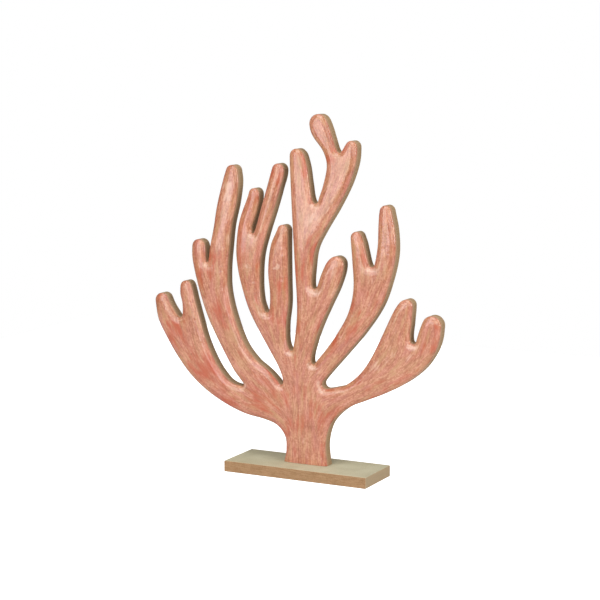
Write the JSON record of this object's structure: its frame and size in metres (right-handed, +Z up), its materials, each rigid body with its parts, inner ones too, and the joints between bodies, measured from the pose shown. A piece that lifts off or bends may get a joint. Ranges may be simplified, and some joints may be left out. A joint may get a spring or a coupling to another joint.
{
  "type": "coral ornament on stand",
  "caption": "Flat branching coral sawn from board, its rounded front face enamelled pink and its edges left bare, standing upright across a plain rectangular base board.",
  "frame": {"origin": "centre of the base board's underside, where it rests on the table", "axes": "+Z up, the enamelled face looks towards -Y, +X to the right seen from the front"},
  "size_m": [0.4247, 0.078, 0.4806],
  "materials": {
    "enamelled_board": "salmon pink enamel brushed lengthwise on the front and its rounding, glossy; the straight sides and the back are bare olive-brown fibreboard",
    "base_board": "bare fibreboard, fine even fibre, matt"
  },
  "bodies": {
    "root": {"base": "base_board", "trunk": "enamelled_board", "far_left_branch": "enamelled_board", "left_branch": "enamelled_board", "centre_left_branch": "enamelled_board", "centre_left_arm": "enamelled_board", "centre_left_outer_finger": "enamelled_board", "centre_left_long_finger": "enamelled_board", "centre_left_inner_finger": "enamelled_board", "centre_branch": "enamelled_board", "centre_arm": "enamelled_board", "centre_tall_finger": "enamelled_board", "centre_crown": "enamelled_board", "centre_side_finger": "enamelled_board", "right_branch": "enamelled_board", "right_short_finger": "enamelled_board", "right_long_finger": "enamelled_board", "far_right_branch": "enamelled_board", "far_right_inner_finger": "enamelled_board", "far_right_outer_finger": "enamelled_board"}
  },
  "joints": []
}
